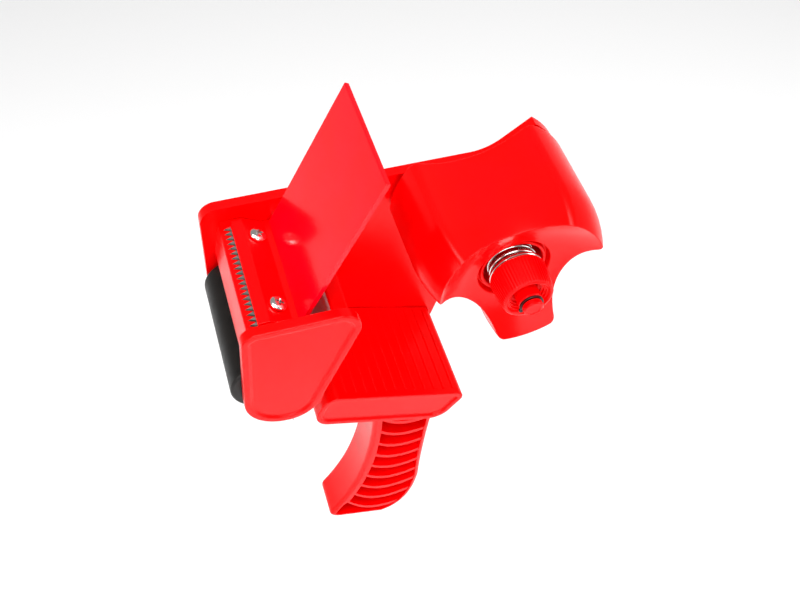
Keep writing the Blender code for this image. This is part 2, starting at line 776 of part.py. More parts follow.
def grip_screw_feet():
    """Where each grip screw's head bears, inside the grip's top cell."""
    axis = Vector((-math.sin(BASE_TILT), 0, math.cos(BASE_TILT)))
    feet = []
    for along in (6, 17):
        x, z = on_base(along, BASE_BOTTOM / MM - 0.3 - GRIP_WALL / MM - 0.3)
        feet.append((Vector((x * MM, -1.5 * MM, z * MM)), -axis))
    return feet


def make_grip(material):
    outline = grip_outline()
    half = GRIP_HALF_WIDTH
    bm = prism_mesh(outline, -half, half)
    grip = add_object("grip", bm, material)
    bevel(grip, 1.6 * MM, segments=2, angle=70)
    walls = [GRIP_FRONT_WALL if 1 < i < GRIP_FRONT_POINTS else GRIP_WALL
             for i in range(len(outline))]
    bm = prism_mesh(inset(outline, walls), -half - 1 * MM, half - GRIP_WEB)
    apply_boolean(grip, add_object("grip_hollow", bm, None, cutter=True))
    middles = [wall / 2 for wall in walls]
    bounds = prism_mesh(inset(outline, middles), -half + 0.4 * MM, half - 2 * MM)
    limit = add_object("grip_rib_limit", bounds, None, cutter=True)
    for i in range(GRIP_RIBS):
        bm = prism_mesh(grip_rib(i), -half - 2 * MM, half + 2 * MM)
        rib = add_object(f"grip_rib_{i + 1}", bm, None, cutter=True)
        apply_boolean(rib, limit, "INTERSECT")
        apply_boolean(grip, rib, "UNION")
    for i, (foot, axis) in enumerate(grip_screw_feet(), 1):
        hole = rod(
            f"grip_hole_{i}", SCREW_HOLE_RADIUS, foot + axis * 1 * MM, -axis, 6 * MM
        )
        apply_boolean(grip, hole)


def make_fixings(steel):
    for i, (x, z) in enumerate(head_screw_places(), 1):
        screw(f"head_screw_{i}", (x, SCREW_SEAT_Y, z), UP_Y, 11 * MM, steel)
    for i, (x, z) in enumerate(base_screw_places(), 1):
        screw(f"base_screw_{i}", (x, SCREW_SEAT_Y, z), UP_Y, 11 * MM, steel)
    for i, (foot, axis) in enumerate(grip_screw_feet(), 1):
        screw(f"grip_screw_{i}", foot, axis, 8.5 * MM, steel, 2.9 * MM)


def main():
    clear_scene()
    red = make_material("red gloss plastic", (0.86, 0.01, 0.015), 0.22)
    clear_red = make_material("red flap plastic", (0.9, 0.01, 0.03), 0.15)
    black = make_material("black rubber", (0.015, 0.013, 0.012), 0.45)
    dark = make_material("dark plastic", (0.05, 0.05, 0.05), 0.4)
    steel = make_material("bright steel", (0.8, 0.8, 0.78), 0.18, 1.0)
    blade_steel = make_material("blade steel", (0.25, 0.24, 0.23), 0.35, 1.0)
    blackened = make_material("blackened steel", (0.06, 0.06, 0.06), 0.4, 1.0)

    make_side_plate(red)
    make_head_frame(red)
    make_cheek_pin(steel)
    make_cutter_blade(blade_steel)
    make_clamp(red, steel)
    make_flap(clear_red)
    make_roller(black, dark, steel)
    make_hub(red)
    make_hub_stack(red, blackened, steel)
    make_base_block(red)
    make_grip(red)
    make_fixings(steel)


main()
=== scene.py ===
"""Looks of a hand-held tape gun dispenser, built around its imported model.

Everything is in metres in the model's own frame: +X from the cutting head towards
the tape hub, +Y towards the side plate, +Z up. Outlines are written in millimetres.
"""

import json
import math

import bmesh
import bpy
from mathutils import Matrix, Vector


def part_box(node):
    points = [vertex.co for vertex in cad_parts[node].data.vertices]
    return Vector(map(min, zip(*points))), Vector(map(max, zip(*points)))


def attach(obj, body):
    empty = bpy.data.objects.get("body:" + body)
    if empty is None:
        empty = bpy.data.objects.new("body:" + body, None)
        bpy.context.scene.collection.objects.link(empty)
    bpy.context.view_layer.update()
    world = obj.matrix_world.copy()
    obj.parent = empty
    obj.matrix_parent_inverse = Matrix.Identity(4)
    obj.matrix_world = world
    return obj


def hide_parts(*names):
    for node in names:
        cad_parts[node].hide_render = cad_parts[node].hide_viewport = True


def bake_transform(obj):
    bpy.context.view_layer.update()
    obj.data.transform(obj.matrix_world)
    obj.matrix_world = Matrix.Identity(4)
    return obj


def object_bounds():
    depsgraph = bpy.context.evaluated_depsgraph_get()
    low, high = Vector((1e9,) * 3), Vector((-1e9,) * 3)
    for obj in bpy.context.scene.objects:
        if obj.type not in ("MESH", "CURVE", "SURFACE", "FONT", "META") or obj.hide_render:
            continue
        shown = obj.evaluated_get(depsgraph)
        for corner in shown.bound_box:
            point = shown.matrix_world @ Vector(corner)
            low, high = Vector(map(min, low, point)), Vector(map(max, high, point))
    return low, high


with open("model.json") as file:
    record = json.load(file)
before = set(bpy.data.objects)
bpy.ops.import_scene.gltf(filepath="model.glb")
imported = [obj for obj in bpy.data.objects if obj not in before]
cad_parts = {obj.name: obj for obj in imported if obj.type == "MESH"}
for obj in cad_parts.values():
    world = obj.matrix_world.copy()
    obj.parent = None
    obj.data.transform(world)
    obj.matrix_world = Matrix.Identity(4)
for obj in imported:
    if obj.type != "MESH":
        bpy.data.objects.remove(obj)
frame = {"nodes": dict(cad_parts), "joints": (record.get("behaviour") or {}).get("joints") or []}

MM = 0.001
CAD_BOX = [[float(v) for v in corner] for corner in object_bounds()]
JOINT_AT = {j["name"]: Vector(j["pos_m"]) for j in frame["joints"] if "pos_m" in j}
HUB = JOINT_AT["hub_spin"]
ROLLER = JOINT_AT["roller_spin"]
HINGE = JOINT_AT["flap_flex"]
UP_Y = Vector((0, 1, 0))

# Camera, at the angle of the reference view
CAMERA_AT = (-0.07535, -0.25045, 0.44996)
CAMERA_AZIMUTH = math.radians(-19.14)
CAMERA_ELEVATION = math.radians(51.75)
CAMERA_ROLL = math.radians(2.77)
CAMERA_LENS = 47.17
FLOOR_DROP = 0.26
WORLD_STRENGTH = 0.34

# Fineness of round shapes
ARC_STEP = math.radians(3)
ROUND_STEPS = 96
EDGE_SEGMENTS = 4

# Head
PAD_SLOPE = math.radians(30)
PAD_RIDGE = (-45.6, 152.4)
PAD_DEPTH = 8.3
FLAP_ANGLE = math.radians(63.5)
CLAMP_SCREW_X = -41.2
TEETH = 20
TOOTH_LENGTH = 3.0

# Base block and grip
BASE_AT = (2, 66)
BASE_TILT = math.radians(-18.5)
BASE_BOTTOM = -8.5
BASE_TOP = 10
BASE_TOP_RIBS = 12
GRIP_WALL = 2.6
GRIP_FRONT_WALL = 4.2
GRIP_WEB = 4
GRIP_RIBS = 9
GRIP_RIB_PITCH = 9.6
GRIP_RIB_THICKNESS = 2.2
GRIP_RIB_SAG = 4.5
GRIP_RIB_REACH = 22
GRIP_RIB_MIDDLE, GRIP_RIB_SHIFT = 19.5, 1.5
GRIP_FRONT_FIRST, GRIP_FRONT_LAST = 3, 21

# Tape hub
HUB_RADIUS = 38
HUB_RIM_Y = -16.6
HUB_TIP_Y = -26
HUB_STRAIGHT_Y = -5.6
HUB_TIP_TAPER = 4.4
LOBES = 3
LOBE_HALF_ANGLE = math.radians(21)
FIRST_LOBE = math.radians(41)
HOLLOW_RADIUS = 22.4
LOBE_CORNER_RADIUS = 4
RECESS_RADIUS = 15
NUT_RIBS = 54


# Materials ------------------------------------------------------------------------


def new_material(name, colour, roughness, metallic=0.0):
    material = bpy.data.materials.new(name)
    material.use_nodes = True
    shader = material.node_tree.nodes["Principled BSDF"]
    shader.inputs["Base Color"].default_value = (*colour, 1)
    shader.inputs["Roughness"].default_value = roughness
    shader.inputs["Metallic"].default_value = metallic
    return material, shader


def noise(material, scale, detail=3.0, stretch=(1, 1, 1)):
    """A noise texture over the object's own coordinates; scale is per metre."""
    nodes, links = material.node_tree.nodes, material.node_tree.links
    place = nodes.new("ShaderNodeTexCoord")
    mapping = nodes.new("ShaderNodeMapping")
    mapping.inputs["Scale"].default_value = stretch
    texture = nodes.new("ShaderNodeTexNoise")
    texture.inputs["Scale"].default_value = scale
    texture.inputs["Detail"].default_value = detail
    links.new(place.outputs["Object"], mapping.inputs["Vector"])
    links.new(mapping.outputs["Vector"], texture.inputs["Vector"])
    return texture.outputs["Fac"]


def vary(material, shader, socket, source, low, high):
    """Drives a shader value between two limits with a texture."""
    nodes, links = material.node_tree.nodes, material.node_tree.links
    spread = nodes.new("ShaderNodeMapRange")
    spread.inputs["From Min"].default_value = 0.3
    spread.inputs["From Max"].default_value = 0.7
    spread.inputs["To Min"].default_value = low
    spread.inputs["To Max"].default_value = high
    links.new(source, spread.inputs["Value"])
    links.new(spread.outputs["Result"], shader.inputs[socket])


def tint(material, shader, source, one, other):
    """Blends two colours over the surface."""
    nodes, links = material.node_tree.nodes, material.node_tree.links
    ramp = nodes.new("ShaderNodeValToRGB")
    ramp.color_ramp.elements[0].position = 0.35
    ramp.color_ramp.elements[0].color = (*one, 1)
    ramp.color_ramp.elements[1].position = 0.65
    ramp.color_ramp.elements[1].color = (*other, 1)
    links.new(source, ramp.inputs["Fac"])
    links.new(ramp.outputs["Color"], shader.inputs["Base Color"])


def bump(material, shader, source, height, strength=1.0):
    nodes, links = material.node_tree.nodes, material.node_tree.links
    relief = nodes.new("ShaderNodeBump")
    relief.inputs["Strength"].default_value = strength
    relief.inputs["Distance"].default_value = height
    links.new(source, relief.inputs["Height"])
    links.new(relief.outputs["Normal"], shader.inputs["Normal"])


def moulded_plastic(name, dark, light, roughness, level, coat=0.0):
    """Glossy plastic with the faint cloudiness and ripple of a moulded surface."""
    material, shader = new_material(name, light, roughness)
    shader.inputs["Specular IOR Level"].default_value = level
    shader.inputs["Coat Weight"].default_value = coat
    shader.inputs["Coat Roughness"].default_value = 0.06
    tint(material, shader, noise(material, 55, 2), dark, light)
    vary(material, shader, "Roughness", noise(material, 90, 2), roughness * 0.9,
         roughness * 1.12)
    bump(material, shader, noise(material, 60, 1), 0.05 * MM, 0.2)
    return material


def black_rubber(name):
    material, shader = new_material(name, (0.004, 0.003, 0.002), 0.4)
    shader.inputs["Specular IOR Level"].default_value = 0.25
    tint(material, shader, noise(material, 300, 3), (0.003, 0.002, 0.0015),
         (0.006, 0.004, 0.003))
    vary(material, shader, "Roughness", noise(material, 300, 2), 0.36, 0.46)
    bump(material, shader, noise(material, 900, 2), 0.02 * MM, 0.25)
    return material


def plated_steel(name, colour, roughness, stretch=(1, 1, 1), height=0.01):
    """Bright metal with fine marks that may run one way."""
    material, shader = new_material(name, colour, roughness, 1.0)
    darker = tuple(v * 0.82 for v in colour)
    tint(material, shader, noise(material, 260, 4, stretch), darker, colour)
    vary(material, shader, "Roughness", noise(material, 900, 4, stretch),
         roughness * 0.7, roughness * 1.4)
    bump(material, shader, noise(material, 1500, 3, stretch), height * MM, 0.4)
    return material


RED = moulded_plastic("red moulded plastic", (0.80, 0.0, 0.0), (0.90, 0.0, 0.001),
                      0.22, 0.14)
# Same plastic as the clamp: the lighter, pinker base colour here is a painted reflection, while
# the gloss and coat are real.
FLAP_RED_PAINTED_SHEEN = moulded_plastic("red flap plastic", (0.86, 0.0, 0.004), (0.95, 0.0, 0.008),
                           0.14, 0.2, 0.12)
NUT_RED = moulded_plastic("red knob plastic", (0.76, 0.0, 0.0), (0.86, 0.0, 0.001),
                          0.30, 0.12)
RUBBER = black_rubber("black rubber")
DARK_PLASTIC = moulded_plastic("dark plastic", (0.03, 0.03, 0.03), (0.05, 0.05, 0.05),
                               0.42, 0.4)
CHROME = plated_steel("bright plated steel", (0.86, 0.85, 0.83), 0.14)
BLADE = plated_steel("polished blade steel", (0.60, 0.58, 0.56), 0.2, (0.1, 1, 1))
GROUND = plated_steel("ground tooth edge", (0.10, 0.105, 0.09), 0.42, (1, 0.2, 1))
BLACKENED = plated_steel("blackened spring steel", (0.07, 0.06, 0.055), 0.34)


# Mesh helpers -----------------------------------------------------------------------


def arc(centre_x, centre_z, radius, start, end, step=ARC_STEP):
    steps = max(3, math.ceil(abs(end - start) / step))
    angles = [start + (end - start) * i / steps for i in range(steps + 1)]
    return [
        (centre_x + radius * math.cos(a), centre_z + radius * math.sin(a)) for a in angles
    ]


def filleted(corners):
    """A closed outline in mm from (x, z, radius) corners, each turned into an arc."""
    outline = []
    for i, (x, z, radius) in enumerate(corners):
        corner = Vector((x, z))
        if radius == 0:
            outline.append((x, z))
            continue
        before = (Vector(corners[i - 1][:2]) - corner).normalized()
        after = (Vector(corners[(i + 1) % len(corners)][:2]) - corner).normalized()
        half = before.angle(after) / 2
        centre = corner + (before + after).normalized() * radius / math.sin(half)
        start = corner + before * radius / math.tan(half) - centre
        end = corner + after * radius / math.tan(half) - centre
        first = math.atan2(start.y, start.x)
        sweep = (math.atan2(end.y, end.x) - first + math.pi) % (2 * math.pi) - math.pi
        outline += arc(centre.x, centre.y, radius, first, first + sweep)
    return outline


def bezier(start, control, end, steps):
    """Points of a quadratic curve in mm, without its last one."""
    points = []
    for i in range(steps):
        t = i / steps
        points.append(
            tuple(
                (1 - t) ** 2 * a + 2 * t * (1 - t) * b + t * t * c
                for a, b, c in zip(start, control, end)
            )
        )
    return points


def inset(outline, distances):
    """The outline in mm moved inwards, by a distance for each point."""
    ahead = outline[1:] + outline[:1]
    area = sum(a[0] * b[1] - b[0] * a[1] for a, b in zip(outline, ahead))
    side = 1 if area > 0 else -1
    moved = []
    for i, point in enumerate(outline):
        before = (Vector(point) - Vector(outline[i - 1])).normalized()
        after = (Vector(outline[(i + 1) % len(outline)]) - Vector(point)).normalized()
        normal = Vector((-before.y - after.y, before.x + after.x)) * side
        scale = distances[i] / max(0.4, normal.length / 2)
        moved.append(tuple(Vector(point) + normal.normalized() * scale))
    return moved


def on_base(along, across):
    """(x, z) in mm of a point on the base block's tilted axes."""
    cos, sin = math.cos(BASE_TILT), math.sin(BASE_TILT)
    return (
        BASE_AT[0] + along * cos - across * sin,
        BASE_AT[1] + along * sin + across * cos,
    )


def prism(outline, near_y, far_y):
    """A bmesh prism across Y from an outline in mm; y values are in metres."""
    bm = bmesh.new()
    near = [bm.verts.new((x * MM, near_y, z * MM)) for x, z in outline]
    far = [bm.verts.new((x * MM, far_y, z * MM)) for x, z in outline]
    bm.faces.new(near)
    bm.faces.new(far[::-1])
    for i in range(len(outline)):
        j = (i + 1) % len(outline)
        bm.faces.new((near[i], far[i], far[j], near[j]))
    bmesh.ops.recalc_face_normals(bm, faces=bm.faces)
    return bm


def dished_near_face(bm, rim, depth, lip=0.5):
    """Sinks the face that looks towards -Y inside a flat rim, with a sloping wall."""
    faces = [f for f in bm.faces if f.normal.y < -0.99]
    face = max(faces, key=lambda f: f.calc_area())
    bmesh.ops.inset_region(bm, faces=[face], thickness=rim)
    bmesh.ops.inset_region(bm, faces=[face], thickness=lip * depth, depth=-depth)


def loft(rings, closed):
    """A surface through rings of points; it closes on itself or ends in two caps."""
    bm = bmesh.new()
    rows = [[bm.verts.new(point) for point in ring] for ring in rings]
    pairs = list(zip(rows, rows[1:]))
    if closed:
        pairs.append((rows[-1], rows[0]))
    else:
        bm.faces.new(rows[0])
        bm.faces.new(rows[-1][::-1])
    for one, other in pairs:
        for i in range(len(one)):
            j = (i + 1) % len(one)
            bm.faces.new((one[i], other[i], other[j], one[j]))
    bmesh.ops.recalc_face_normals(bm, faces=bm.faces)
    return bm


def ring_of(centre, axis, radius, steps=ROUND_STEPS):
    side = axis.orthogonal().normalized()
    other = axis.cross(side)
    turns = [2 * math.pi * i / steps for i in range(steps)]
    return [centre + radius * (math.cos(a) * side + math.sin(a) * other) for a in turns]


def turned(profile, place, axis=UP_Y, closed=True, steps=ROUND_STEPS):
    """A turned bmesh: profile holds (radius, distance along the axis) in mm."""
    place, axis = Vector(place), Vector(axis).normalized()
    rings = [
        ring_of(place + axis * far * MM, axis, radius * MM, steps)
        for radius, far in profile
    ]
    return loft(rings, closed)


def object_of(name, bm, material=None):
    mesh = bpy.data.meshes.new(name)
    bmesh.ops.remove_doubles(bm, verts=bm.verts, dist=1e-7)
    bm.to_mesh(mesh)
    bm.free()
    if material:
        mesh.materials.append(material)
    obj = bpy.data.objects.new(name, mesh)
    bpy.context.scene.collection.objects.link(obj)
    return obj


def bevel(obj, width, segments=EDGE_SEGMENTS, angle=32):
    modifier = obj.modifiers.new("edge rounding", "BEVEL")
    modifier.width = width * MM
    modifier.segments = segments
    modifier.limit_method = "ANGLE"
    modifier.angle_limit = math.radians(angle)
    modifier.use_clamp_overlap = True


def settle(obj):
    """Turns an object's modifiers into its mesh."""
    graph = bpy.context.evaluated_depsgraph_get()
    mesh = bpy.data.meshes.new_from_object(obj.evaluated_get(graph))
    obj.modifiers.clear()
    obj.data = mesh


def combine(obj, bm, operation="DIFFERENCE", edge=0):
    """Cuts, joins or intersects the object with a bmesh."""
    other = object_of("tool", bm)
    if edge:
        bevel(other, edge)
        settle(other)
    settle(obj)
    modifier = obj.modifiers.new(operation.lower(), "BOOLEAN")
    modifier.operation = operation
    modifier.solver = "EXACT"
    modifier.object = other
    settle(obj)
    bpy.data.objects.remove(other, do_unlink=True)


def drill(obj, place, axis, radius, length, steps=48):
    combine(obj, turned([(radius, 0), (radius, length)], place, axis, False, steps))


def piece(obj, body, *nodes, smooth=32):
    """Finishes a piece: shading, its body and the nodes it stands for."""
    settle(obj)
    obj.data.shade_smooth()
    obj.data.set_sharp_from_angle(angle=math.radians(smooth))
    weighted = obj.modifiers.new("even shading", "WEIGHTED_NORMAL")
    weighted.keep_sharp = True
    settle(obj)
    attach(obj, body)
    if nodes:
        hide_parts(*nodes)
    return obj


# Side plate and head ----------------------------------------------------------------

PLATE_Y = [corner.y for corner in map(Vector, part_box("side_plate"))]
CHEEK_Y = -PLATE_Y[1]
CHEEK_INNER_Y = -PLATE_Y[0]
SEAT_Y = PLATE_Y[1] - 2.3 * MM
HEAD_SCREWS = [(-48.6, 144.4), (-19.9, 146.6), (-30.5, 104)]
BASE_SCREWS = [on_base(along, 1) for along in (-23, 20)]


def plate_outline():
    head = [(-49, 97.5, 14), (-62, 99, 14), (-60.9, 156, 7), (57, 156, 22)]
    base = [
        (50, 103.6, 6),
        (*on_base(35.5, 4), 4),
        (*on_base(27, BASE_BOTTOM), 9),
        (*on_base(-33.5, BASE_BOTTOM), 7),
        (*on_base(-32.5, 14), 8),
    ]
    hub_x, hub_z = HUB.x / MM, HUB.z / MM
    disc = arc(hub_x, hub_z, 37, math.radians(52), math.radians(-85))
    return filleted(head + [(x, z, 0) for x, z in disc] + base)


def make_side_plate():
    plate = object_of("side_plate_shell", prism(plate_outline(), *PLATE_Y), RED)
    bevel(plate, 1.2)
    holes = [(HUB.x / MM, HUB.z / MM)] + HEAD_SCREWS + BASE_SCREWS
    for i, (x, z) in enumerate(holes):
        radius = 4.8 if i == 0 else 4.0
        place = (x * MM, SEAT_Y - 0.3 * MM, z * MM)
        drill(plate, place, UP_Y, radius, 10)
    piece(plate, "frame", "side_plate")


def bar_outlines():
    slope = math.tan(PAD_SLOPE)
    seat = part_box("cutter_blade")[0][2] / MM - 0.3
    seat_end = seat - 7.2 * slope
    bridge = [
        (-57.3, 132.5, 0.9),
        (-54.3, seat, 1.2),
        (-45.4, seat, 0),
        (-38.2, seat_end, 0),
        (-32.6, seat_end, 0.8),
        (-32.6, 140, 0.8),
        (-54.0, 140, 0),
        (-55.4, 132.5, 0.8),
    ]
    web = [
        (-16.6, 150.6, 1),
        (-23.2, 150.6, 1),
        (-23.6, 143.2, 0),
        (-28.8, 123, 1),
        (-25.0, 123, 1),
        (-17.6, 142, 0),
    ]
    tie = [(-36, 99, 2), (-36, 107, 2), (-27.5, 110, 2), (-30, 99.5, 3)]
    return [filleted(corners) for corners in (bridge, web, tie)]


def pad_normal():
    return Vector((math.sin(PAD_SLOPE), 0, math.cos(PAD_SLOPE)))


def clamp_screw_place(node):
    """Where a clamp screw's head bears on the sloping pad."""
    low, high = map(Vector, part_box(node))
    x = CLAMP_SCREW_X
    z = PAD_RIDGE[1] - (x - PAD_RIDGE[0]) * math.tan(PAD_SLOPE)
    return Vector((x * MM, (low.y + high.y) / 2, z * MM))


def make_head():
    cheek = filleted(
        [(-60.5, 97.5, 16), (-57.5, 156, 6), (-9.9, 156, 8), (-34.5, 97.5, 13)]
    )
    bm = prism(cheek, CHEEK_Y, CHEEK_INNER_Y)
    dished_near_face(bm, 2.6 * MM, 0.9 * MM, 0.8)
    head = object_of("head_moulding", bm, RED)
    bevel(head, 0.6, angle=28)
    for outline in bar_outlines():
        overlap = 1.5 * MM
        bm = prism(outline, CHEEK_INNER_Y - overlap, PLATE_Y[0] - 0.3 * MM)
        combine(head, bm, "UNION")
    piece(head, "frame", "head_frame")


def make_clamp():
    """The pad over the blade; its rear edge is the outside of the flap's bend."""
    slope = math.tan(PAD_SLOPE)
    valley = PAD_RIDGE[1] - PAD_DEPTH * slope
    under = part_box("cutter_blade")[1][2] / MM + 0.3
    outline = filleted(
        [
            (-50, under, 0.3),
            (-50, 151.9, 0.7),
            (*PAD_RIDGE, 1.6),
            (PAD_RIDGE[0] + PAD_DEPTH, valley, 1.5),
            (-33.3, valley, 1.0),
            (-33.3, valley - 2.1, 1.0),
            (-38.3, valley - 2.1, 0.6),
            (-46.3, under, 0),
        ]
    )
    low, high = map(Vector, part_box("blade_clamp"))
    clamp = object_of("blade_clamp_pad", prism(outline, low.y, high.y), RED)
    bevel(clamp, 0.35, 3, angle=50)
    for node in ("clamp_screw_near", "clamp_screw_far"):
        place = clamp_screw_place(node)
        drill(clamp, place + pad_normal() * 2 * MM, -pad_normal(), 1.9, 9)
    piece(clamp, "frame", "blade_clamp")


def make_flap():
    """The tall glossy flap, with rounded edges."""
    low, high = map(Vector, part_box("flap"))
    along = Vector((math.cos(FLAP_ANGLE), math.sin(FLAP_ANGLE)))
    across = Vector((-along.y, along.x))
    length, half = 70.4, 0.9
    hinge = Vector((HINGE.x, HINGE.z)) / MM
    root = arc(*hinge, half, FLAP_ANGLE + math.pi / 2, FLAP_ANGLE + 1.5 * math.pi)
    top = arc(*(hinge + along * (length - 0.5)), half, FLAP_ANGLE - math.pi / 2,
              FLAP_ANGLE + math.pi / 2)
    flatter = []
    for x, z in top:
        off = Vector((x, z)) - hinge
        reach = min(off.dot(along), length)
        point = hinge + along * reach + across * off.dot(across)
        flatter.append(tuple(point))
    flap = object_of("tape_flap", prism(root + flatter, low.y, high.y), FLAP_RED_PAINTED_SHEEN)
    bevel(flap, 0.45, 4, angle=50)
    piece(flap, "flap", "flap")


def make_blade():
    """The steel strip: each tooth has a ground facet down to its cutting edge."""
    low, high = map(Vector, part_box("cutter_blade"))
    pitch = (high.y - low.y) / TEETH
    root, tip, rear = low.x + TOOTH_LENGTH * MM, low.x, high.x
    facet, edge = 0.4 * MM, 0.12 * MM
    bm = bmesh.new()

    def vertex(x, y, z):
        return bm.verts.new((x, y, z))

    for i in range(TEETH):
        y0, y1 = low.y + i * pitch, low.y + (i + 1) * pitch
        middle = (y0 + y1) / 2
        base = [vertex(root, y0, low.z), vertex(tip, middle, low.z),
                vertex(root, y1, low.z)]
        rim = [vertex(root, y0, low.z + edge), vertex(tip, middle, low.z + edge),
               vertex(root, y1, low.z + edge)]
        top = [vertex(root + 0.25 * MM, y0 + facet * 0.8, high.z),
               vertex(tip + facet * 2.1, middle, high.z),
               vertex(root + 0.25 * MM, y1 - facet * 0.8, high.z)]
        back = [vertex(rear, y0, low.z), vertex(rear, y1, low.z),
                vertex(rear, y0, high.z), vertex(rear, y1, high.z)]
        valley = [vertex(root + facet, y0, high.z), vertex(root + facet, y1, high.z)]
        bm.faces.new((base[0], base[1], rim[1], rim[0]))
        bm.faces.new((base[1], base[2], rim[2], rim[1]))
        for face in (
            bm.faces.new((rim[0], rim[1], top[1], top[0])),
            bm.faces.new((rim[1], rim[2], top[2], top[1])),
            bm.faces.new((rim[0], top[0], valley[0])),
            bm.faces.new((rim[2], valley[1], top[2])),
        ):
            face.material_index = 1
        bm.faces.new((top[0], top[1], top[2], valley[1], back[3], back[2], valley[0]))
        bm.faces.new((base[0], back[0], back[1], base[2], base[1]))
        bm.faces.new((back[0], back[2], back[3], back[1]))
        if i == 0:
            bm.faces.new((base[0], rim[0], valley[0], back[2], back[0]))
        if i == TEETH - 1:
            bm.faces.new((base[2], back[1], back[3], valley[1], rim[2]))
    bmesh.ops.remove_doubles(bm, verts=bm.verts, dist=1e-6)
    bmesh.ops.recalc_face_normals(bm, faces=bm.faces)
    blade = object_of("toothed_blade", bm, BLADE)
    blade.data.materials.append(GROUND)
    piece(blade, "frame", "cutter_blade", smooth=5)


def make_roller():
    low, high = map(Vector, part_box("roller_sleeve"))
    half = (high.y - low.y) / 2 / MM
    radius = (high.z - low.z) / 2 / MM
    edge = [
        (radius - 1.2 + 1.2 * math.sin(a), half - 1.2 + 1.2 * math.cos(a))
        for a in [math.radians(v) for v in range(0, 91, 15)]
    ]
    profile = [(8.3, -half)]
    profile += [(r, -y) for r, y in edge]
    profile += [(r, y) for r, y in reversed(edge)]
    profile.append((8.3, half))
    sleeve = object_of("roller_rubber", turned(profile, ROLLER), RUBBER)
    piece(sleeve, "roller", "roller_sleeve")
    reach = half + 1
    core = [(3.3, -reach), (7.6, -reach), (8, 0.4 - reach), (8, reach - 0.4),
            (7.6, reach), (3.3, reach)]
    core = object_of("roller_core_tube", turned(core, ROLLER), DARK_PLASTIC)
    piece(core, "roller", "roller_core")


# Screws -------------------------------------------------------------------------------


def make_screw(name, node, place, axis, head=3.4, rise=2.0, turn=0.5, shank=8.0):
    """A pan-head screw with a cross recess; it stands in for its node."""
    place, axis = Vector(place), Vector(axis).normalized()
    dome = [
        (head * math.sin(a), rise * (0.35 + 0.65 * math.cos(a)))
        for a in [math.radians(v) for v in range(4, 91, 8)]
    ]
    profile = dome + [(head, 0.25), (head - 0.25, 0), (1.6, 0)]
    steps = int(shank / 0.8)
    for i in range(steps):
        profile.append((1.6 if i % 2 else 1.3, -0.6 - 0.8 * i))
    profile.append((0.3, -shank - 0.6))
    obj = object_of(name, turned(profile, place, axis, False, 64), CHROME)
    side = axis.orthogonal().normalized()
    side = Matrix.Rotation(turn, 3, axis) @ side
    other = axis.cross(side)
    for one, two in ((side, other), (other, side)):
        rings = []
        for lift, wide, thick in ((rise + 0.6, 2.1, 0.42), (rise - 1.3, 0.75, 0.3)):
            centre = place + axis * lift * MM
            ring = [
                centre + (one * wide * u + two * thick * v) * MM * head / 3.4
                for u, v in ((-1, -1), (1, -1), (1, 1), (-1, 1))
            ]
            rings.append(ring)
        combine(obj, loft(rings, False))
    piece(obj, "frame", node, smooth=28)


def make_screws():
    for turn, node in ((0.5, "clamp_screw_near"), (1.1, "clamp_screw_far")):
        make_screw(f"cross_{node}", node, clamp_screw_place(node) + pad_normal() * 0.3 * MM,
                   pad_normal(), turn=turn)
    for i, (x, z) in enumerate(HEAD_SCREWS, 1):
        make_screw(f"cross_head_screw_{i}", f"head_screw_{i}", (x * MM, SEAT_Y, z * MM),
                   UP_Y, turn=0.3 * i)
    for i, (x, z) in enumerate(BASE_SCREWS, 1):
        make_screw(f"cross_base_screw_{i}", f"base_screw_{i}", (x * MM, SEAT_Y, z * MM),
                   UP_Y, turn=0.4 * i)
    make_screw("cross_stud_screw", "stud_screw", (HUB.x, SEAT_Y, HUB.z), UP_Y, 4.2,
               turn=0.2)


# Tape hub and its stack -----------------------------------------------------------------


def star_radius(angle):
    """The hub's outline in mm: round lobes with a hollow arc between each two."""
    step = 2 * math.pi / LOBES
    turn = (angle - FIRST_LOBE + step / 2) % step - step / 2
    half = step / 2 - LOBE_HALF_ANGLE
    chord, middle = HUB_RADIUS * math.sin(half), HUB_RADIUS * math.cos(half)
    sagitta = middle - HOLLOW_RADIUS
    radius = (chord**2 + sagitta**2) / (2 * sagitta)
    centre = HOLLOW_RADIUS + radius
    off = step / 2 - abs(turn)
    corner, reach = LOBE_CORNER_RADIUS, HUB_RADIUS - LOBE_CORNER_RADIUS
    far = radius + corner
    corner_off = math.acos((reach**2 + centre**2 - far**2) / (2 * reach * centre))
    if off >= corner_off:
        return HUB_RADIUS
    touch_x = centre - (centre - reach * math.cos(corner_off)) * radius / far
    touch_z = reach * math.sin(corner_off) * radius / far
    if off > math.atan2(touch_z, touch_x):
        slip = off - corner_off
        edge = math.sqrt(corner**2 - (reach * math.sin(slip)) ** 2)
        return reach * math.cos(slip) + edge
    return centre * math.cos(off) - math.sqrt(radius**2 - (centre * math.sin(off)) ** 2)


def hub_angles():
    """Even steps over each lobe, its two corners and the hollow after it."""
    step = 2 * math.pi / LOBES
    corner = math.radians(7)
    lobe, hollow = 2 * (LOBE_HALF_ANGLE - corner / 2), step - 2 * LOBE_HALF_ANGLE - corner
    angles = []
    for i in range(LOBES):
        start = FIRST_LOBE + i * step - lobe / 2
        for wide, steps in ((lobe, 12), (corner, 9), (hollow, 24), (corner, 9)):
            angles += [start + wide * k / steps for k in range(steps)]
            start += wide
    return angles


def nose_taper(y):
    share = max(0, (HUB_STRAIGHT_Y - y) / (HUB_STRAIGHT_Y - HUB_TIP_Y))
    return HUB_TIP_TAPER * share**2


def face_y(radius):
    """The near face is dished: its tips stand nearer than the recess rim."""
    share = (radius - RECESS_RADIUS) / (HUB_RADIUS - HUB_TIP_TAPER - RECESS_RADIUS)
    return HUB_RIM_Y + (HUB_TIP_Y - HUB_RIM_Y) * share * abs(share)


